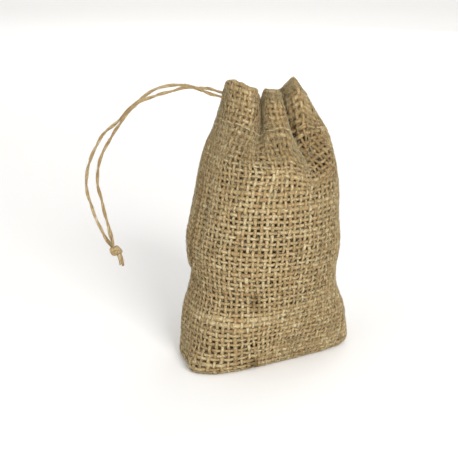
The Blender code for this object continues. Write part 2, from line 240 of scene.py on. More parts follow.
def linear(code):
    """An sRGB hex colour as the linear colour that shaders take."""
    parts = [int(code[i:i + 2], 16) / 255.0 for i in (1, 3, 5)]
    curve = [p / 12.92 if p <= 0.04045 else ((p + 0.055) / 1.055) ** 2.4 for p in parts]
    return (*curve, 1.0)


# ---------------------------------------------------------------- settings that a user would change

def length_setting(label, default, least, description):
    """A length that a user may change, in metres."""
    return bpy.props.FloatProperty(
        name=label, description=description, default=default, min=least, unit="LENGTH",
        subtype="DISTANCE")


class SackSizes(bpy.types.PropertyGroup):
    """Real sizes of the sack's threads and fibres."""

    row_pitch: length_setting(
        "Row pitch", ROW_PITCH * MM, 0.001, "Distance between two weft threads on the wall")
    warp_width: length_setting(
        "Warp width", 0.00144, 0.0005, "Mean width of a warp thread where the weave is open")
    weft_width: length_setting(
        "Weft width", 0.00148, 0.0005, "Mean width of a weft thread where the weave is open")
    fibre_length: length_setting("Fibre length", 0.0055, 0.001, "Mean length of a stray fibre")
    matting: bpy.props.FloatProperty(
        name="Matting", description="How much wider the threads are where the weave is matted",
        default=1.17, min=1.0, max=2.0)
    fibre_count: bpy.props.IntProperty(
        name="Stray fibres", description="Number of fibres that stand off the cloth",
        default=13000, min=0)


def colour_setting(label, code, description):
    """A colour that a user may change, with an sRGB hex colour as its default."""
    return bpy.props.FloatVectorProperty(
        name=label, description=description, default=linear(code), size=4, min=0.0, max=1.0,
        subtype="COLOR")


class SackColours(bpy.types.PropertyGroup):
    """Colours of the jute, of the sewing thread and of the floor."""

    # straw is also the colour of the painted highlight on the threads' crests
    straw: colour_setting("Straw", "#C1B591", "The light fibres of the jute")
    tan: colour_setting("Tan", "#9D865D", "The jute's middle colour")
    # bark is also the dark end of the painted shade in the folds and between the threads
    bark: colour_setting("Bark", "#54401F", "Flecks of bark left in the jute")
    russet: colour_setting("Russet", "#96724C", "Patches where the jute is warmer and browner")
    cotton: colour_setting("Sewing thread", "#CDBD95", "The sewing thread of the hem")
    floor: colour_setting("Floor", "#F3F2F0", "The plain floor")


# ---------------------------------------------------------------- the form's formulas

def smooth_step(value, low, high):
    """0 below low, 1 above high, with a smooth rise between them."""
    share = np.clip((value - low) / (high - low), 0.0, 1.0)
    return share * share * (3.0 - 2.0 * share)


def smooth_table(rows, place):
    """The rows' other columns at a place in their first column, on smooth curves through them."""
    table = np.array(rows, float)
    at = table[:, 0]
    slopes = np.gradient(table, at, axis=0)
    index = int(np.clip(np.searchsorted(at, place) - 1, 0, len(at) - 2))
    span = at[index + 1] - at[index]
    t = (place - at[index]) / span
    start, end = table[index], table[index + 1]
    rise = (3 - 2 * t) * t * t
    curve = (1 - t) * t * span * ((1 - t) * slopes[index] - t * slopes[index + 1])
    return (start + rise * (end - start) + curve)[1:]


def off_angle(angles, centre):
    """Angles counted from a centre, in degrees from -180 to 180."""
    return (angles - centre + 180.0) % 360.0 - 180.0


def rim_rise(angles):
    """Rise of the top edge at each of a level's angles."""
    table = np.array([(angle + 360.0 * turn, rise) for turn in (-1, 0, 1, 2) for angle, rise in RIM])
    reach = int(0.5 * RIM_SOFTNESS / 360.0 * OUTLINE_FINE)
    step = 360.0 / OUTLINE_FINE
    wider = np.concatenate([angles[0] + step * np.arange(-reach, 0), angles,
                            angles[-1] + step * np.arange(1, reach + 1)])
    sharp = np.interp(wider, table[:, 0], table[:, 1])
    kernel = np.hanning(2 * reach + 1)
    return np.convolve(sharp, kernel / kernel.sum(), "valid")


def pleat_angle(pleat, height):
    """Direction of a pleat's valley at a level."""
    return pleat.low_angle + (pleat.top_angle - pleat.low_angle) * smooth_step(
        height, pleat.low, PLEATS_UPRIGHT)


def outline(height, inset=0.0):
    """The wall's outer face at a level: finely spaced points, and each one's direction."""
    centre_x, centre_y, length, depth, square, yaw = smooth_table(SECTIONS, height)
    angles = SEAM_ANGLE + np.linspace(0.0, 360.0, OUTLINE_FINE + 1)
    turned = np.radians(angles - yaw)
    hull = (np.abs(np.cos(turned) / (length - inset)) ** square
            + np.abs(np.sin(turned) / (depth - inset)) ** square) ** (-1.0 / square)
    radius = hull.copy()
    for pleat in PLEATS:
        grown = smooth_step(height, pleat.low, pleat.full)
        across = np.radians(off_angle(angles, pleat_angle(pleat, height))) * hull
        width = pleat.half_width * (1.0 + pleat.lean * np.tanh(across))
        radius -= pleat.depth * grown * np.exp(-(across / width) ** 2)
    for dent in DENTS + CREASES:
        aside = off_angle(angles, dent.angle)
        along = (height - dent.height - dent.slant * aside) / dent.half_height
        radius -= dent.depth * np.exp(-(aside / dent.half_angle) ** 2 - along ** 2)
    x = centre_x + radius * np.cos(np.radians(angles))
    y = centre_y + radius * np.sin(np.radians(angles))
    tilt = ROW_TILT * smooth_step(height, *TILT_FROM)
    z = height + rim_rise(angles) * smooth_step(height, RIM_FROM, TOP) - tilt * x
    return np.column_stack([x, y, z]), angles


def run_along(points):
    """Length of the line from its first point to each point."""
    return np.concatenate([[0.0], np.cumsum(np.linalg.norm(np.diff(points, axis=0), axis=1))])


def pleat_columns():
    """Which of the AROUND points of a ring lies in each pleat's valley."""
    points, angles = outline(GIRTH_LEVEL)
    run = run_along(points)
    at = np.interp([pleat.low_angle for pleat in PLEATS], angles, run) / run[-1]
    return np.round(at * AROUND)


def ring(height, inset=0.0):
    """Points of the wall's outer face at a level, evenly spaced along the cloth between pleats."""
    points, angles = outline(height, inset)
    run = run_along(points)
    valleys = np.interp([pleat_angle(pleat, height) for pleat in PLEATS], angles, run)
    columns = np.concatenate([[0.0], PLEAT_COLUMNS, [AROUND]])
    places = np.interp(np.arange(AROUND * FINE) / FINE, columns, [0.0, *valleys, run[-1]])
    return np.column_stack([np.interp(places, run, points[:, axis]) for axis in range(3)])


PLEAT_COLUMNS = pleat_columns()


def unit(vectors):
    """Vectors of length 1 the same way."""
    return vectors / np.maximum(np.linalg.norm(vectors, axis=-1, keepdims=True), TINY)


class Cloth:
    """The sack's cloth: where a thread and row lie, and which way the cloth faces there."""

    UNDER_LEVELS = 12
    TURN_LEVELS = 6
    WALL_LEVELS = 150
    SEAM_LEFT = 0.97   # how far the cloth under the base has closed on the bottom seam

    def __init__(self, row_pitch):
        rings = self.under_base() + self.base_turn()
        rings += [ring(height) for height in np.linspace(BASE_ROUND, TOP, self.WALL_LEVELS)]
        self.points = np.array(rings)
        around = np.roll(self.points, -1, axis=1) - np.roll(self.points, 1, axis=1)
        ups = np.gradient(self.points, axis=0)
        self.normals = unit(np.cross(around, ups))
        flat = np.abs(self.points[:, :, 2]).max(axis=1) < TINY
        self.normals[flat] = (0.0, 0.0, -1.0)
        self.ups = unit(ups)
        steps = np.linalg.norm(np.diff(self.points, axis=0), axis=2).mean(axis=1)
        self.along = np.concatenate([[0.0], np.cumsum(steps)])
        self.edge = self.along[-1] - FOLD_DROP
        self.stitch = self.along[-1] - HEM_DEPTH
        self.fold = math.pi * FOLD_RADIUS
        self.end = self.edge + self.fold + HEM_DEPTH + HEM_TURN
        self.row_places = self.rows_up(row_pitch)
        self.rows = len(self.row_places) - 1
        self.edge_row = float(np.interp(self.edge, self.row_places, np.arange(self.rows + 1)))

    def under_base(self):
        """Rings under the base, from the bottom seam out to its turn."""
        foot = ring(BASE_ROUND, BASE_ROUND)
        foot[:, 2] = 0.0
        centre_x, centre_y, _, _, _, yaw = smooth_table(SECTIONS, BASE_ROUND)
        long_way = np.array([math.cos(math.radians(yaw)), math.sin(math.radians(yaw)), 0.0])
        short_way = np.array([-long_way[1], long_way[0], 0.0])
        middle = np.array([centre_x, centre_y, 0.0])
        from_centre = foot - middle
        rings = []
        for share in np.linspace(self.SEAM_LEFT, 0.0, self.UNDER_LEVELS):
            along = from_centre @ long_way * (1.0 - (1.0 - SEAM_SHARE) * share)
            across = from_centre @ short_way * (1.0 - share)
            rings.append(middle + np.outer(along, long_way) + np.outer(across, short_way))
        return rings

    def base_turn(self):
        """Rings of the turn from the base to the wall."""
        rings = []
        for step in range(1, self.TURN_LEVELS):
            turn = 0.5 * math.pi * step / self.TURN_LEVELS
            level = ring(BASE_ROUND, BASE_ROUND * (1.0 - math.sin(turn)))
            level[:, 2] = BASE_ROUND * (1.0 - math.cos(turn))
            rings.append(level)
        return rings

    def rows_up(self, pitch):
        """How far along the cloth each row lies: closer together in the hem."""
        places = [0.0]
        while places[-1] < self.end:
            share = HEM_PITCH_SHARE if places[-1] > self.stitch else 1.0
            places.append(places[-1] + pitch * share)
        return np.array(places)

    def sample(self, grid, column, level):
        """Values of a grid of the cloth between its points."""
        count = AROUND * FINE
        left = np.floor(column).astype(int)
        low = np.clip(np.floor(level).astype(int), 0, len(grid) - 2)
        across = (column - left)[..., None]
        up = np.clip(level - low, 0.0, 1.0)[..., None]
        one, two = left % count, (left + 1) % count
        lower = grid[low, one] * (1.0 - across) + grid[low, two] * across
        upper = grid[low + 1, one] * (1.0 - across) + grid[low + 1, two] * across
        return lower * (1.0 - up) + upper * up

    def place(self, thread, row, lift=0.0):
        """Points on the middle of the cloth, lifted along its outward normal, and those normals."""
        thread, row, lift = np.broadcast_arrays(thread, row, lift)
        thread, row = drift(thread, row)
        along = np.interp(row, np.arange(self.rows + 1), self.row_places)
        past = along - self.edge
        turn = np.clip(past / self.fold, 0.0, 1.0) * math.pi
        inside = self.edge - (past - self.fold)
        on_face = np.where(past > self.fold, inside, np.minimum(along, self.edge))
        level = np.interp(on_face, self.along, np.arange(len(self.along)))
        column = thread / WARPS * AROUND * FINE
        point = self.sample(self.points, column, level)
        normal = unit(self.sample(self.normals, column, level))
        up = unit(self.sample(self.ups, column, level))
        single = 1.0 - smooth_step(on_face, self.stitch - STEP_HEIGHT, self.stitch)
        depth = OUTER_DEPTH + (CENTRE_DEPTH - OUTER_DEPTH) * single
        depth = depth + FOLD_RADIUS * (1.0 - np.cos(turn))
        facing = normal * np.cos(turn)[..., None] + up * np.sin(turn)[..., None]
        rise = FOLD_RADIUS * np.sin(turn)
        middle = point - normal * depth[..., None] + up * rise[..., None]
        return middle + facing * lift[..., None], facing


# Soft-edged patches of the cloth, each with its middle and half its size in threads and rows.
# These say where the weave is open, 1, matted, 0, or matted even more, under 0.
Patch = namedtuple("Patch", "name thread row half_threads half_rows amount")
OPEN_WEAVE = (
    Patch("front", 12.4, 26.1, 10.8, 23.5, 1.0),
    Patch("upper_front", 11.0, 48.0, 6.0, 3.2, 0.35),
    Patch("right_hollow", 28.6, 49.3, 5.4, 4.8, 0.65),
    Patch("right_lobe", 27.5, 58.0, 6.5, 4.7, -1.0),
    Patch("right_pleat", 24.3, 54.6, 2.4, 3.6, -1.8),
    Patch("left_lobe", 5.4, 57.4, 5.4, 5.2, -0.3),
    Patch("under_left_pleat", 13.5, 51.7, 5.4, 2.1, -0.5),
    Patch("back", 59.3, 29.2, 21.6, 73.1, -1.4),
)
# Where the jute is lighter or darker over an area: painted shade at the neck, on the lobes, below
# the left pleat, in the side groove and in the right hollow, painted light in the right pleat, and
# the jute's own bark flecks and pale rows
PAINTED_SHADE_AND_TONES = (
    Patch("neck", 15.1, 58.5, 32.4, 11.5, -0.05),
    Patch("right_lobe", 28.5, 58.0, 5.0, 5.0, -0.12),
    Patch("middle_lobe", 19.0, 57.0, 4.0, 6.0, -0.10),
    Patch("under_left_pleat", 14.6, 50.7, 6.5, 3.3, -0.30),
    Patch("side_groove", -1.2, 35.0, 1.0, 12.5, -0.5),
    Patch("right_hollow", 28.6, 48.6, 4.9, 5.2, -0.50),
    Patch("right_pleat", 24.3, 55.6, 2.4, 3.6, 0.10),
    Patch("bark_at_base", 12.9, 8.1, 1.0, 1.4, -1.3),
    Patch("bark_in_front", 13.2, 21.4, 0.9, 1.6, -0.9),
    Patch("pale_rows", 9.7, 17.2, 15.1, 0.9, 0.22),
)
# Where the cloth has frayed: at the drawstring's way out, along the lobes' edges and below the hem
FRAYED = (
    Patch("drawstring_exit", 0.5, 55.9, 1.9, 2.3, 1.0),
    Patch("middle_lobe_edge", 18.9, 59.5, 4.3, 1.0, 1.0),
    Patch("right_lobe_edge", 25.9, 59.5, 3.2, 1.0, 1.0),
    Patch("ridge_below_hem", 22.7, 50.1, 1.7, 5.2, 1.0),
    Patch("below_hem_left", 7.5, 49.5, 9.0, 5.0, 1.0),
    Patch("below_left_pleat", 14.0, 51.0, 7.0, 4.0, 1.0),
)
FRAY_COUNT = 2600
# Inside, loose fibres lie thick on the far wall, so that daylight doesn't show through both walls
INSIDE = (
    Patch("inside_back_low", 58.3, 15.7, 34.5, 18.8, 1.0),
    Patch("inside_back_middle", 57.2, 29.2, 34.5, 18.8, 1.0),
    Patch("inside_back_high", 56.1, 42.8, 34.5, 16.7, 1.0),
)
INNER_COUNT = 11000


def soft_patch(patch, thread, row):
    """How far a place lies from a patch's middle, in threads and rows, and the patch's share there."""
    aside = (thread - patch.thread + 0.5 * WARPS) % WARPS - 0.5 * WARPS
    above = row - patch.row
    share = np.exp(-(aside / patch.half_threads) ** 4 - (above / patch.half_rows) ** 4)
    return aside, above, share


def patch_sum(patches, thread, row):
    """The amounts of patches of the cloth, added up at a place."""
    total = np.zeros(np.broadcast(thread, row).shape)
    for patch in patches:
        total += patch.amount * soft_patch(patch, thread, row)[2]
    return total


# Where the weave is pulled about within the cloth: a soft-edged patch, how many rows it moves down,
# by how many degrees it turns, how much further apart its warps lie, and their pitch before that in
# millimetres, because the neck gathers them
Pull = namedtuple("Pull", "name thread row half_threads half_rows down turn spread pitch")
PULLS = (
    Pull("under_left_pleat", 13.5, 51.2, 4.9, 4.7, 0.8, 0.0, 1.0, 1.9),
    Pull("middle_lobe", 18.9, 53.3, 4.3, 4.2, -0.6, 0.0, 1.0, 1.9),
    Pull("below_middle_lobe", 16.7, 50.1, 5.9, 3.7, 0.0, 0.0, 1.3, 1.9),
    Pull("left_lobe_hem", 5.4, 58.5, 5.9, 9.4, 0.0, 0.0, 1.5, 1.4),
    Pull("middle_lobe_hem", 18.9, 58.5, 3.8, 8.4, 0.0, 0.0, 1.35, 1.7),
    Pull("right_lobe_hem", 28.6, 59.5, 4.3, 6.3, 0.0, 0.0, 1.15, 1.7),
    Pull("right_hollow", 28.7, 49.1, 7.0, 6.0, 0.0, 26.0, 1.25, 1.7),
    Pull("upper_front", 10.6, 48.0, 6.4, 4.2, 0.0, 0.0, 1.18, 1.9),
)

TURN_FADES = (0.5, 6.5)  # the turn ends between so many rows above a pull's middle
ROWS_LEVELLED = 0.85  # the wall's rows lie more level than its rings do: so many rows at each side
LEFTMOST_WARP = -2.2
LEVELLED_FROM = (10.0, 24.0)  # the levelling grows between these rows
LEVELLED_TO = (42.0, 52.0)  # and ends between these


def drift(thread, row):
    """Places on the cloth once the weave is levelled, pulled, turned and spread there."""
    levelled = smooth_step(row, *LEVELLED_FROM) * (1.0 - smooth_step(row, *LEVELLED_TO))
    row = row - ROWS_LEVELLED * levelled * np.cos(2.0 * math.pi * (thread - LEFTMOST_WARP) / WARPS)
    for pull in PULLS:
        aside, above, share = soft_patch(pull, thread, row)
        across = aside * pull.spread * pull.pitch
        upward = above * ROW_PITCH
        turn = math.radians(pull.turn) * (1.0 - smooth_step(above, *TURN_FADES))
        cosine, sine = np.cos(turn), np.sin(turn)
        new_aside = (across * cosine - upward * sine) / pull.pitch
        new_above = (across * sine + upward * cosine) / ROW_PITCH
        thread = thread + share * (new_aside - aside)
        row = row + share * (new_above - above - pull.down)
    return thread, row


# ---------------------------------------------------------------- threads as meshes

Strand = namedtuple("Strand", "points normals half_width half_height closed tone number")
STREAKS_APART = 61.0  # from one strand to the next, so that no two have the same streaks


def add_object(name, data):
    """Puts an object in the scene."""
    made = bpy.data.objects.new(name, data)
    bpy.context.scene.collection.objects.link(made)
    return made


def wander(rng, count, length, spacing):
    """Soft noise from -1 to 1 on count lines of length steps, with a swing about every spacing."""
    knots = int(length / spacing) + 3
    values = rng.uniform(-1.0, 1.0, (count, knots))
    at = np.arange(length) / spacing
    low = at.astype(int)
    share = smooth_step(at - low, 0.0, 1.0)
    return values[:, low] * (1.0 - share) + values[:, low + 1] * share


def strand_piece(name, strands, sides, finish, spin=0.0):
    """One piece of all strands as flattened tubes, riding on the sack. Its attributes tell the
    material where on a strand a point lies: strand_place is millimetres along and the direction
    round it, turned by spin in each millimetre, strand_crest is 1 on its outer side and -1 on its
    inner side, for a painted highlight and painted shade, and strand_tone is its own lighter or
    darker shade, with the painted shade of the cloth's folds added for its threads."""
    verts, faces, places, tones, crests = [], [], [], [], []
    first = 0
    turn = math.pi / 2.0 + np.linspace(0.0, 2.0 * math.pi, sides, endpoint=False)
    # painted light and shade: 1 on a strand's outer side, painted lighter, down to -1 on its inner side,
    # painted darker
    outer_side = np.sin(turn) ** 3
    for strand in strands:
        points = strand.points
        count = len(points)
        if strand.closed:
            ahead = np.roll(points, -1, axis=0) - np.roll(points, 1, axis=0)
        else:
            ahead = np.gradient(points, axis=0)
        ahead = unit(ahead)
        side = unit(np.cross(ahead, strand.normals))
        above = np.cross(side, ahead)
        wide = np.broadcast_to(strand.half_width, count)[:, None, None]
        high = np.broadcast_to(strand.half_height, count)[:, None, None]
        ring_points = (points[:, None] + side[:, None] * wide * np.cos(turn)[None, :, None]
                       + above[:, None] * high * np.sin(turn)[None, :, None])
        verts.append(ring_points.reshape(-1, 3))
        along = run_along(points)
        spun = turn[None, :] + spin * along[:, None]
        place = np.stack([np.broadcast_to(along[:, None] + STREAKS_APART * strand.number, spun.shape),
                          np.cos(spun), np.sin(spun)], axis=2)
        places.append(place.reshape(-1, 3))
        tones.append(np.repeat(np.broadcast_to(strand.tone, count), sides))
        crests.append(np.tile(outer_side, count))
        a = np.arange(count if strand.closed else count - 1)[:, None]
        k = np.arange(sides)[None, :]
        b = (a + 1) % count
        next_k = (k + 1) % sides
        quads = np.stack([a * sides + k, a * sides + next_k, b * sides + next_k, b * sides + k], axis=2)
        faces += (quads.reshape(-1, 4) + first).tolist()
        if not strand.closed:
            faces.append((first + np.arange(sides)[::-1]).tolist())
            faces.append((first + (count - 1) * sides + np.arange(sides)).tolist())
        first += count * sides
    mesh = bpy.data.meshes.new(name)
    mesh.from_pydata((np.concatenate(verts) * MM).tolist(), [], faces)
    placing = mesh.attributes.new("strand_place", "FLOAT_VECTOR", "POINT")
    placing.data.foreach_set("vector", np.concatenate(places).astype(np.float32).ravel())
    for kind, values in (("strand_tone", tones), ("strand_crest", crests)):
        attribute = mesh.attributes.new(kind, "FLOAT", "POINT")
        attribute.data.foreach_set("value", np.concatenate(values).astype(np.float32))
    mesh.shade_smooth()
    mesh.materials.append(finish)
    piece = add_object(name, mesh)
    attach(piece, BODY)
    return piece


# ---------------------------------------------------------------- materials

def add_node(tree, kind, settings=(), inputs=()):
    """Adds a node of a kind with its settings; an input is a value, or a (node, output) to link."""
    made = tree.nodes.new(kind)
    for name, value in dict(settings).items():
        setattr(made, name, value)
    for name, value in dict(inputs).items():
        if isinstance(value, tuple) and isinstance(value[0], bpy.types.Node):
            tree.links.new(value[0].outputs[value[1]], made.inputs[name])
        else:
            made.inputs[name].default_value = value
    return made


def empty_material(name):
    """A material with only its output node, and that node's tree."""
    made = bpy.data.materials.get(name) or bpy.data.materials.new(name)
    made.use_nodes = True
    made.node_tree.nodes.clear()
    return made, made.node_tree


JUTE = ("straw", "tan", "bark", "russet")


def fibre_material(name, roughness, sheen, streak_mm, bump_mm, contrast, painted_crest_light, tones=JUTE):
    """A strand of loosely spun fibres: streaks along it, lighter and darker stretches, warm patches
    and dark flecks, with a painted highlight on its outer side and painted shade deep between
    its neighbours."""
    colours = bpy.context.scene.sack_colours
    light, plain, dark, warm = [getattr(colours, tone) for tone in tones]
    made, tree = empty_material(name)
    place, tone, crest = [add_node(tree, "ShaderNodeAttribute", {"attribute_name": kind})
                          for kind in ("strand_place", "strand_tone", "strand_crest")]
    patterns = []
    for along, across, detail, harshness in (
            # how often it changes in a millimetre along the strand, and across it
            (0.4, 0.6 / streak_mm, 3.0, 0.7),   # streaks
            (0.13, 0.25, 2.0, 0.5),             # lighter and darker stretches
            (0.21, 0.3, 1.0, 0.5),              # warm patches
            (0.715, 1.17, 2.0, 0.6)):           # flecks of bark
        at = add_node(tree, "ShaderNodeVectorMath", {"operation": "MULTIPLY"},
                      {0: (place, "Vector"), 1: (along, across, across)})
        patterns.append(add_node(
            tree, "ShaderNodeTexNoise", {},
            {"Vector": (at, "Vector"), "Scale": 1.0, "Detail": detail, "Roughness": harshness}))
    streak, stretch, tint, fleck = patterns
    # the shade adds up the strand's tone, which carries the painted shade of the cloth's folds, its streaks
    # and stretches, and the painted highlight and shade of its crest
    shade = (tone, "Fac")
    for source, mean, strength in (((streak, 0), 0.5, 2.2 * contrast),
                                   ((stretch, 0), 0.5, 1.5 * contrast),
                                   ((crest, "Fac"), 0.45, painted_crest_light)):
        centred = add_node(tree, "ShaderNodeMath", {"operation": "SUBTRACT"}, {0: source, 1: mean})
        added = add_node(tree, "ShaderNodeMath", {"operation": "MULTIPLY_ADD"},
                         {0: (centred, 0), 1: strength, 2: shade})
        shade = (added, 0)
    colour = plain
    for source, low, high, at_low, at_high, other in (
            # between which values of its source another colour comes in, and how much of it
            ((tint, 0), 0.48, 0.70, 0.0, 0.6, warm),
            (shade, 0.0, 0.7, 0.0, 1.0, light),
            (shade, -0.9, 0.0, 0.75, 0.0, dark),
            ((fleck, 0), 0.58, 0.70, 0.0, 0.75, dark)):
        share = add_node(
            tree, "ShaderNodeMapRange", {},
            {"Value": source, "From Min": low, "From Max": high, "To Min": at_low, "To Max": at_high})
        mixed = add_node(tree, "ShaderNodeMix", {"data_type": "RGBA"}, {0: (share, 0), 6: colour, 7: other})
        colour = (mixed, 2)
    bump = add_node(
        tree, "ShaderNodeBump", {}, {"Height": (streak, 0), "Strength": 0.7, "Distance": bump_mm * MM})
    shader = add_node(
        tree, "ShaderNodeBsdfPrincipled", {},
        {"Base Color": colour, "Roughness": roughness, "Metallic": 0.0, "Specular IOR Level": 0.25,
         "Sheen Weight": sheen, "Sheen Roughness": 0.5, "Normal": (bump, "Normal")})
    add_node(tree, "ShaderNodeOutputMaterial", {}, {"Surface": (shader, "BSDF")})
    return made


def hessian_yarn():
    """Jute yarn of a hessian weave: retted bast fibres, spun loosely in one ply. The eye gets a dry
    straw-to-tan thread with long streaks, uneven shade from thread to thread and flecks of bark."""
    return fibre_material("jute_hessian_yarn", roughness=0.88, sheen=0.04, streak_mm=0.30,
                          bump_mm=0.28, contrast=1.15, painted_crest_light=0.42)


def jute_twine():
    """Two-ply jute twine, twisted and polished a little by handling. The eye gets a paler, smoother
    strand than the cloth, with slanting lines where the plies meet."""
    return fibre_material("jute_twine_two_ply", roughness=0.75, sheen=0.15, streak_mm=0.22,
                          bump_mm=0.14, contrast=1.25, painted_crest_light=0.1)


def loose_fibre():
    """Single jute fibres that have worked out of the yarn. The eye gets fine pale hairs."""
    return fibre_material("jute_single_fibre", roughness=0.6, sheen=0.0, streak_mm=0.5,
                          bump_mm=0.02, contrast=0.4, painted_crest_light=0.0)


def sewing_thread():
    """Spun sewing thread, in jute's colour. The eye gets a thin, even, paler line of stitches."""
    return fibre_material("spun_sewing_thread", roughness=0.7, sheen=0.1, streak_mm=0.3,
                          bump_mm=0.05, contrast=0.3, painted_crest_light=0.1, tones=("cotton", "cotton", "tan", "tan"))


def matt_floor():
    """Seamless matt paper. The eye gets an even, nearly white ground with a soft shadow."""
    made, tree = empty_material("matt_backdrop_paper")
    grain = add_node(tree, "ShaderNodeTexNoise", {}, {"Scale": 60.0, "Detail": 2.0})
    tint = add_node(
        tree, "ShaderNodeMapRange", {}, {"Value": (grain, 0), "To Min": 0.985, "To Max": 1.0})
    colour = add_node(
        tree, "ShaderNodeMix", {"data_type": "RGBA", "blend_type": "MULTIPLY"},
        {0: 1.0, 6: bpy.context.scene.sack_colours.floor, 7: (tint, 0)})
    shader = add_node(
        tree, "ShaderNodeBsdfPrincipled", {},
        {"Base Color": (colour, 2), "Roughness": 0.95, "Specular IOR Level": 0.1})
    add_node(tree, "ShaderNodeOutputMaterial", {}, {"Surface": (shader, "BSDF")})
    return made


# ---------------------------------------------------------------- the cloth's threads

def crossings(count):
    """Places along a thread, in pitches, beside each of its crossings."""
    return (np.arange(count)[:, None] + np.array(SAMPLES)[None, :]).ravel()


def thread_widths(rng, count, length):
    """How much wider or thinner than usual threads are: each its own, with thin stretches and slubs."""
    spread, thinnest, widest = OWN_WIDTH
    widths = rng.normal(1.0, spread, (count, 1)).clip(thinnest, widest)
    for size, spacing in WIDTH_SWINGS:
        widths = widths * (1.0 + size * wander(rng, count, length, spacing))
    thicker, slub_length, seldom = SLUBS
    peaks = np.clip(wander(rng, count, length, slub_length) - seldom, 0.0, 1.0)
    return widths * (1.0 + thicker * peaks / (1.0 - seldom))


def sways(rng, count, length, swings):
    """How far threads lie off their straight way: swings of (size, samples), added up."""
    return sum(size * wander(rng, count, length, spacing) for size, spacing in swings)


def half_sizes(widths, thread, row, open_width, matting):
    """Half a thread's width and half its thickness along it, by how open the weave is there."""
    matted_width = open_width * matting
    share = patch_sum(OPEN_WEAVE, thread, row)
    half = 0.5 * (matted_width + (open_width - matted_width) * share) * widths
    return half, THREAD_HALF_HEIGHT * np.sqrt(widths)


def warp_strands(cloth, open_width, matting, from_row, to_row, seed):
    """The threads that run up the sack, between two rows."""
    rng = np.random.default_rng(seed)
    at = crossings(cloth.rows + 1)
    widths = thread_widths(rng, WARPS, len(at))
    sway = sways(rng, WARPS, len(at), WARP_SWAY)
    tones = rng.normal(0.0, TONE_SPREAD, WARPS)
    shown = (at >= from_row) & (at <= to_row)
    rows = at[shown]
    strands = []
    for number in range(WARPS):
        lift = WAVE * np.cos(math.pi * (rows + number))
        points, normals = cloth.place(number + sway[number, shown], rows, lift)
        before = cloth.place(number - 1.0, rows)[0]
        room = 0.5 * np.linalg.norm(cloth.place(number + 1.0, rows)[0] - before, axis=1)
        half, high = half_sizes(widths[number, shown], number, rows, open_width, matting)
        half = np.minimum(half, WIDEST_SHARE * room)
        # painted shade of the folds and hollows, with the bark flecks and pale rows, added to the thread's
        # own tone
        tone = tones[number] + patch_sum(PAINTED_SHADE_AND_TONES, number, rows)
        strands.append(Strand(points, normals, half, high, False, tone, number))
    return strands


def weft_strands(cloth, open_width, matting, rows, seed):
    """The threads that run round the sack, one for each of the rows."""
    rng = np.random.default_rng(seed)
    at = crossings(WARPS)
    count = cloth.rows + 1
    length = len(at)
    close = np.clip(np.minimum(np.arange(length), np.arange(length)[::-1]) / SEAM_TURN, 0.0, 1.0)
    widths = 1.0 + (thread_widths(rng, count, length) - 1.0) * close
    sway = sways(rng, count, length, WEFT_SWAY) * close
    for row, middle, half_length, thicker in THICK_WEFTS:
        widths[row] *= 1.0 + thicker * np.exp(-((at - middle) / half_length) ** 4)
    tones = rng.normal(0.0, TONE_SPREAD, count)
    strands = []
    for row in rows:
        lift = -WAVE * np.cos(math.pi * (at + row))
        points, normals = cloth.place(at, row + sway[row], lift)
        half, high = half_sizes(widths[row], at, row, open_width, matting)
        # painted shade of the folds and hollows, with the bark flecks and pale rows, added to the thread's
        # own tone
        tone = tones[row] + patch_sum(PAINTED_SHADE_AND_TONES, at, row)
        strands.append(Strand(points, normals, half, high, True, tone, 200 + row))
    return strands


def stitch_strands(cloth, row, seed):
    """A line of running stitches round the cloth, at a row."""
    rng = np.random.default_rng(seed)
    length = CUT_WIDTH / WARPS
    share = np.linspace(0.0, 1.0, 7)
    lift = STITCH_ENDS + STITCH_ARCH * np.sin(math.pi * share) ** 0.5
    strands = []
    for number in range(int(CUT_WIDTH / STITCH_LENGTH)):
        start = number * STITCH_LENGTH / length
        thread = start + share * ((STITCH_LENGTH - STITCH_GAP) / length)
        height = row + STITCH_OFF * rng.uniform(-1.0, 1.0) + STITCH_SLANT * share * rng.uniform(-1.0, 1.0)
        points, normals = cloth.place(thread, height, lift)
        # painted shade of the folds, stronger on the stitches, added to each stitch's own tone
        tone = rng.normal(0.0, 0.2) + STITCH_SHADING * patch_sum(PAINTED_SHADE_AND_TONES, thread, height)
        strands.append(Strand(points, normals, STITCH_HALF, STITCH_HALF, False, tone, number))
    return strands


def places_where_matted(cloth, count, rng):
    """Threads and rows all over the sack, the more of them, the less open the weave is."""
    thread = rng.uniform(0.0, WARPS, 3 * count)
    row = rng.uniform(LOWEST_ROW + 1.0, cloth.edge_row, 3 * count)
    openness = np.clip(patch_sum(OPEN_WEAVE, thread, row), 0.0, 1.0)
    kept = rng.random(3 * count) > MOST_BARED * openness
    return thread[kept][:count], row[kept][:count]


def places_in(patches, cloth, count, rng):
    """Threads and rows about the patches' middles."""
    pick = np.array([patches[k][1:5] for k in rng.integers(0, len(patches), count)])
    thread = pick[:, 0] + rng.normal(0.0, 0.5, count) * pick[:, 2]
    row = pick[:, 1] + rng.normal(0.0, 0.5, count) * pick[:, 3]
    return thread, np.minimum(row, cloth.edge_row)


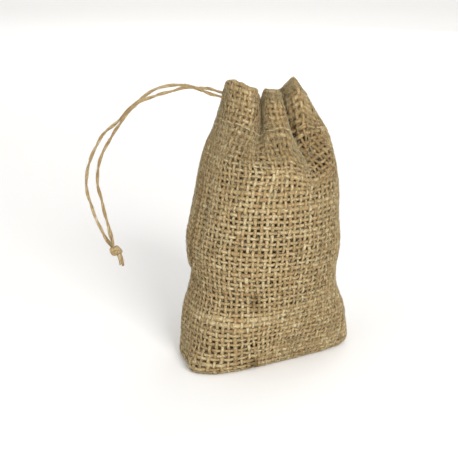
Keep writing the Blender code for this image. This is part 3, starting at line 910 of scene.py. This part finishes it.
def fibre_strands(cloth, places, length, thickest, side, rng):
    """Fibres that start at places on the cloth's outer side, 1, or inner side, -1, mostly along a
    thread, and bend over it and across its gaps. They are drawn as thick as two or three real ones,
    because a single one wouldn't show, and thicker inside, where each stands for many."""
    thread, row = places
    count = len(thread)
    steps = 3
    share = np.linspace(0.0, 1.0, steps)[None, :]
    size = length * rng.gamma(FIBRE_LENGTHS, 1.0 / FIBRE_LENGTHS, count)[:, None]
    lean = rng.normal(0.0, 0.5, count) + 0.5 * math.pi * rng.integers(0, 4, count)
    bend = rng.normal(0.0, 1.0, count)
    heading = lean[:, None] + bend[:, None] * share
    pitch = CUT_WIDTH / WARPS
    across = np.cumsum(np.cos(heading), axis=1) / steps * size / pitch
    upward = np.cumsum(np.sin(heading), axis=1) / steps * size / pitch
    off = rng.gamma(*FIBRE_OFF, count)[:, None]
    lift = side * (FIBRE_LIFT + FIBRE_LOOSE * rng.random(count)[:, None] + off * share ** 1.5)
    rows = np.clip(row[:, None] + upward, LOWEST_ROW, cloth.edge_row + 0.3)
    points, normals = cloth.place(thread[:, None] + across, rows, lift)
    thick = rng.uniform(0.45, 1.0, count) * thickest
    taper = np.linspace(1.0, 0.5, steps)
    tones = rng.normal(0.35, 0.5, count)
    return [Strand(points[i], normals[i], thick[i] * taper, thick[i] * taper, False, tones[i], i)
            for i in range(count)]


# ---------------------------------------------------------------- the drawstring

def smooth_route(points, step):
    """Even points on a smooth curve through a route's own points, both ends among them."""
    route = np.array(points, float)
    run = run_along(route)
    places = np.linspace(0.0, run[-1], 20 * len(route))
    table = np.column_stack([run, route])
    curve = np.array([smooth_table(table, place) for place in places])
    length = run_along(curve)
    count = max(3, int(round(length[-1] / step)) + 1)
    at = np.linspace(0.0, length[-1], count)
    return np.column_stack([np.interp(at, length, curve[:, axis]) for axis in range(3)])


def carried_frames(points):
    """Two directions square to a line at each point, carried along it without spinning."""
    ahead = unit(np.gradient(points, axis=0))
    side = np.zeros_like(points)
    first = np.cross(ahead[0], (0.0, 1.0, 0.0))
    side[0] = first / np.linalg.norm(first)
    for i in range(1, len(points)):
        carried = side[i - 1] - ahead[i] * (side[i - 1] @ ahead[i])
        side[i] = carried / np.linalg.norm(carried)
    return side, np.cross(ahead, side)


def ply_strands(line, number, rng, opening, plump=1.0):
    """The twine's two plies, twisted round a line, which part a little over the last stretch."""
    side, above = carried_frames(line)
    along = run_along(line)
    loose = 1.0 + opening * smooth_step(along, along[-1] - PARTING[0], along[-1] - PARTING[1])
    swell = 1.0 + PLY_SWELL[0] * wander(rng, 2, len(line), PLY_SWELL[1])
    strands = []
    for ply in range(2):
        slip = TWIST_SLIP[0] * wander(rng, 1, len(line), TWIST_SLIP[1])[0]
        turn = slip + math.pi * ply + 2.0 * math.pi * along / TWIST_PITCH
        out = side * np.cos(turn)[:, None] + above * np.sin(turn)[:, None]
        points = line + out * (PLY_RADIUS * loose)[:, None]
        taper = np.interp(along[-1] - along, *PLY_END)
        half = PLY_HALF * plump * swell[ply] * taper
        strands.append(Strand(points, out, half, half, False, rng.normal(-0.05, 0.10), number + ply))
    return strands


def hair_strands(line, count, length, reach, seed):
    """Fine fibres along a line of twine, each lying near it and bending off."""
    rng = np.random.default_rng(seed)
    side, above = carried_frames(line)
    ahead = unit(np.gradient(line, axis=0))
    share = np.linspace(0.0, 1.0, 5)[:, None]
    strands = []
    for number in range(count):
        at = rng.integers(0, len(line))
        turn = rng.uniform(0.0, 2.0 * math.pi)
        bent = turn + HAIR_BEND
        out = side[at] * math.cos(turn) + above[at] * math.sin(turn)
        swing = side[at] * math.cos(bent) + above[at] * math.sin(bent)
        size = length * rng.gamma(FIBRE_LENGTHS, 1.0 / FIBRE_LENGTHS)
        way = rng.choice([-1.0, 1.0])
        points = (line[at] + out * (HAIR_LIFT + reach * rng.uniform(0.2, 1.0) * share ** 1.4)
                  + ahead[at] * way * size * share + swing * rng.normal(0.0, 0.5) * share ** 2)
        thick = rng.uniform(0.03, 0.05) * np.linspace(1.0, 0.4, 5)
        tone = rng.normal(0.2, 0.2)
        strands.append(Strand(points, np.tile(out, (5, 1)), thick, thick, False, tone, number))
    return strands


def knot_line():
    """The middle of the twine in the knot: a small overhand knot round the drawstring's own line."""
    turn = np.linspace(0.0, 2.0 * math.pi, 90, endpoint=False)
    x = np.sin(turn) + 2.0 * np.sin(2.0 * turn)
    y = np.cos(turn) - 2.0 * np.cos(2.0 * turn)
    z = -np.sin(3.0 * turn)
    local = np.column_stack([x, y, z]) * KNOT_SIZE
    spin = Vector((0.0, 0.0, 1.0)).rotation_difference(Vector(KNOT_LAY).normalized()).to_matrix()
    return local @ np.array(spin).T + np.array(KNOT_AT) + KNOT_SHIFT


def knot_strands(rng):
    """The two strands side by side through the knot."""
    line = knot_line()
    along = run_along(np.vstack([line, line[:1]]))
    ahead = unit(np.roll(line, -1, axis=0) - np.roll(line, 1, axis=0))
    out = line - np.array(KNOT_AT)
    out = unit(out - ahead * (out * ahead).sum(axis=1)[:, None])
    side = np.cross(ahead, out)
    strands = []
    for strand in range(2):
        turn = math.pi * strand + 2.0 * math.pi * along[:-1] / along[-1]
        way = side * np.cos(turn)[:, None] + out * np.sin(turn)[:, None]
        tone = rng.normal(0.05, 0.08)
        strands.append(Strand(line + way * KNOT_APART, out, *KNOT_HALVES, True, tone, 40 + strand))
    return strands


def run_on(points, before=0.0, after=0.0):
    """A line lengthened straight on at its start, at its end or at both."""
    line = np.array(points, float)
    start = [line[0] - before * unit(line[1] - line[0])] if before else []
    end = [line[-1] + after * unit(line[-1] - line[-2])] if after else []
    return np.vstack([*start, line, *end])


# ---------------------------------------------------------------- operators

class SACK_OT_view(bpy.types.Operator):
    """Camera at the photograph's angle, studio light and a plain floor."""

    bl_idname = "sack.view"
    bl_label = "Stage"

    def execute(self, context):
        scene = context.scene
        camera = bpy.data.cameras.new("photo_camera")
        camera.sensor_width = SENSOR
        camera.lens = DISTANCE / MM_PER_PIXEL * SENSOR / PHOTO_SIDE
        camera.clip_start = 0.01
        camera.clip_end = 20.0
        holder = add_object("photo_camera", camera)
        tilt = math.radians(ELEVATION)
        back = Vector((0.0, -math.cos(tilt), math.sin(tilt)))
        holder.location = (Vector(TARGET) + DISTANCE * back) * MM
        holder.rotation_euler = (math.radians(90.0 - ELEVATION), 0.0, 0.0)
        scene.camera = holder
        self.lights(scene)
        self.floor()
        scene.view_settings.view_transform = "Standard"
        scene.view_settings.look = "None"
        return {"FINISHED"}

    LIGHTS = (
        # name, place in metres, size in metres, watts
        ("key_softbox", (0.45, -1.0, 0.62), 0.5, 13.0),
        ("left_fill", (-0.9, -0.7, 0.4), 0.8, 3.0),
        ("back_fill", (0.5, 1.1, 0.6), 0.8, 4.0),
        ("backdrop_wash", (0.0, 1.3, 1.3), 1.2, 9.0),
    )
    WASH_AIM = (0.0, 2.4, 0.0)  # the backdrop's light points there, the others at the sack

    def lights(self, scene):
        """A bright even surround and four soft boxes."""
        world = bpy.data.worlds.new("studio_surround")
        world.use_nodes = True
        world.node_tree.nodes.clear()
        shade = add_node(
            world.node_tree, "ShaderNodeBackground", {}, {"Color": (1.0, 1.0, 1.0, 1.0), "Strength": 0.7})
        add_node(world.node_tree, "ShaderNodeOutputWorld", {}, {"Surface": (shade, "Background")})
        scene.world = world
        for name, place, size, watts in self.LIGHTS:
            light = bpy.data.lights.new(name, "AREA")
            light.size = size
            light.energy = watts
            holder = add_object(name, light)
            holder.location = place
            aim = Vector(self.WASH_AIM) if name == "backdrop_wash" else Vector(TARGET) * MM
            holder.rotation_euler = (aim - Vector(place)).to_track_quat("-Z", "Y").to_euler()

    FLOOR_PROFILE = (
        # distance from the middle and height, in metres
        (0.3, 0.0), (1.0, 0.0), (2.0, 0.0), (2.6, 0.06), (3.1, 0.3), (3.4, 0.8), (3.5, 1.6))
    FLOOR_STEPS = 64

    def floor(self):
        """A wide round floor whose rim rises into a backdrop."""
        steps = self.FLOOR_STEPS
        turns = [2.0 * math.pi * k / steps for k in range(steps)]
        verts = [(radius * math.cos(turn), radius * math.sin(turn), height)
                 for radius, height in self.FLOOR_PROFILE for turn in turns]
        faces = [tuple(range(steps))]
        for start in range(0, len(verts) - steps, steps):
            for k in range(steps):
                after = (k + 1) % steps
                faces.append((start + k, start + steps + k, start + steps + after, start + after))
        mesh = bpy.data.meshes.new("floor")
        mesh.from_pydata(verts, [], faces)
        mesh.shade_smooth()
        mesh.materials.append(matt_floor())
        add_object("floor", mesh)


class SACK_OT_drawstring(bpy.types.Operator):
    """The drawstring's two ends, the knot that ties them and the tails past it."""

    bl_idname = "sack.drawstring"
    bl_label = "Drawstring"

    def execute(self, context):
        twine = jute_twine()
        rng = np.random.default_rng(31)
        knot = strand_piece("knot_of_twine", knot_strands(rng), TWINE_SIDES, twine, PLY_SPIN)
        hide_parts("drawstring_knot")
        tails = []
        for name, route, node in (
                # piece, its way, the node that it stands for
                ("front_tail", FRONT_TAIL, "drawstring_tail_front"),
                ("back_tail", BACK_TAIL, "drawstring_tail_back")):
            line = smooth_route(run_on(route, before=INTO_KNOT), step=0.3)
            strands = ply_strands(line, 50, rng, opening=-0.2, plump=1.25)
            strands += hair_strands(line[len(line) // 2:-2], count=16, length=1.0, reach=0.10, seed=53)
            tail = strand_piece(name, strands, TWINE_SIDES, twine, PLY_SPIN)
            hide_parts(node)
            tails.append(tail)
        hairs = []
        for name, route, length, node, opening, pieces in (
                # piece, its way, real length, node, how far its plies part, pieces on it
                ("upper_strand", UPPER_ROUTE, UPPER_LENGTH, "drawstring_upper", 0.4, [knot, *tails]),
                ("lower_strand", LOWER_ROUTE, LOWER_LENGTH, "drawstring_lower", 0.8, [])):
            line = smooth_route(run_on(route, INTO_CASING, INTO_KNOT), step=0.4)
            plies = ply_strands(line, 60, rng, opening)
            strand = strand_piece(name, plies, TWINE_SIDES, twine, PLY_SPIN)
            hairs += hair_strands(line, count=120, length=2.6, reach=0.35, seed=71)
            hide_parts(node)
        strand_piece("twine_fibres", hairs, FIBRE_SIDES, loose_fibre())
        return {"FINISHED"}


@functools.lru_cache
def laid_cloth(row_pitch):
    """The cloth for a pitch of its rows, worked out once, and the row of its stitch line."""
    cloth = Cloth(row_pitch)
    return cloth, int(np.searchsorted(cloth.row_places, cloth.stitch))


class SACK_OT_cloth(bpy.types.Operator):
    """The woven cloth of the sack thread by thread, with its foot and its turned hem."""

    bl_idname = "sack.cloth"
    bl_label = "Woven cloth"

    def execute(self, context):
        sizes = context.scene.sack_sizes
        cloth, hem_row = laid_cloth(sizes.row_pitch / MM)
        yarn = hessian_yarn()
        warp = sizes.warp_width / MM
        weft = sizes.weft_width / MM
        for name, first, last, overlap in (
                # piece, its rows, how far its warps run on into the next piece
                ("woven_cloth", FOOT_ROW, hem_row, 0.0),
                ("foot_cloth", 0, FOOT_ROW, 0.3),
                ("turned_hem", hem_row, cloth.rows - 1, 0.3)):
            from_row = first - overlap if first else 0.0
            to_row = last + (overlap if last == FOOT_ROW else 0.0)
            strands = warp_strands(cloth, warp, sizes.matting, from_row, to_row, seed=11)
            strands += weft_strands(cloth, weft, sizes.matting, range(first, last), seed=12)
            piece = strand_piece(name, strands, YARN_SIDES, yarn, YARN_SPIN)
            if name == "woven_cloth":
                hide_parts("sack_body")
        return {"FINISHED"}


class SACK_OT_stitches(bpy.types.Operator):
    """The running stitches that hold the hem."""

    bl_idname = "sack.stitches"
    bl_label = "Hem stitches"

    def execute(self, context):
        cloth, hem_row = laid_cloth(context.scene.sack_sizes.row_pitch / MM)
        strands = stitch_strands(cloth, hem_row, seed=13)
        strand_piece("hem_stitches", strands, YARN_SIDES, sewing_thread(), STITCH_SPIN)
        return {"FINISHED"}


class SACK_OT_fibres(bpy.types.Operator):
    """Stray fibres on the cloth. With them it is whole."""

    bl_idname = "sack.fibres"
    bl_label = "Stray fibres"

    def execute(self, context):
        sizes = context.scene.sack_sizes
        cloth = laid_cloth(sizes.row_pitch / MM)[0]
        length = sizes.fibre_length / MM
        rng = np.random.default_rng(14)
        for name, places, size, thickest, side in (
                # piece, where its fibres start, mean length, most half thickness, side of the cloth
                ("loose_fibres", places_where_matted(cloth, sizes.fibre_count, rng), length, 0.09, 1),
                ("frayed_edges", places_in(FRAYED, cloth, FRAY_COUNT, rng), 0.6 * length, 0.09, 1),
                ("inner_fibres", places_in(INSIDE, cloth, INNER_COUNT, rng), 1.4 * length, 0.26, -1)):
            strands = fibre_strands(cloth, places, size, thickest, side, rng)
            strand_piece(name, strands, FIBRE_SIDES, loose_fibre())
        return {"FINISHED"}


class SACK_PT_panel(bpy.types.Panel):
    """Lists the steps that make the sack, and its settings."""

    bl_idname = "SACK_PT_panel"
    bl_label = "Burlap Sack"
    bl_space_type = "VIEW_3D"
    bl_region_type = "UI"
    bl_category = "Burlap Sack"

    def draw(self, context):
        for operator in OPERATORS:
            self.layout.operator(operator.bl_idname)
        for group in (context.scene.sack_sizes, context.scene.sack_colours):
            for name in group.bl_rna.properties.keys():
                if name not in ("rna_type", "name"):
                    self.layout.prop(group, name)


OPERATORS = (SACK_OT_view, SACK_OT_drawstring, SACK_OT_cloth, SACK_OT_stitches, SACK_OT_fibres)
CLASSES = (SackSizes, SackColours, *OPERATORS, SACK_PT_panel)


def register():
    """Adds the classes and the scene's settings."""
    for kind in CLASSES:
        bpy.utils.register_class(kind)
    bpy.types.Scene.sack_sizes = bpy.props.PointerProperty(type=SackSizes)
    bpy.types.Scene.sack_colours = bpy.props.PointerProperty(type=SackColours)


def unregister():
    """Takes the settings and the classes away again."""
    del bpy.types.Scene.sack_colours
    del bpy.types.Scene.sack_sizes
    for kind in reversed(CLASSES):
        bpy.utils.unregister_class(kind)


def main():
    """Registers the add-on and runs its operators in order."""
    register()
    bpy.ops.sack.view()
    bpy.ops.sack.drawstring()
    bpy.ops.sack.cloth()
    bpy.ops.sack.stitches()
    bpy.ops.sack.fibres()


if __name__ == "__main__":
    main()
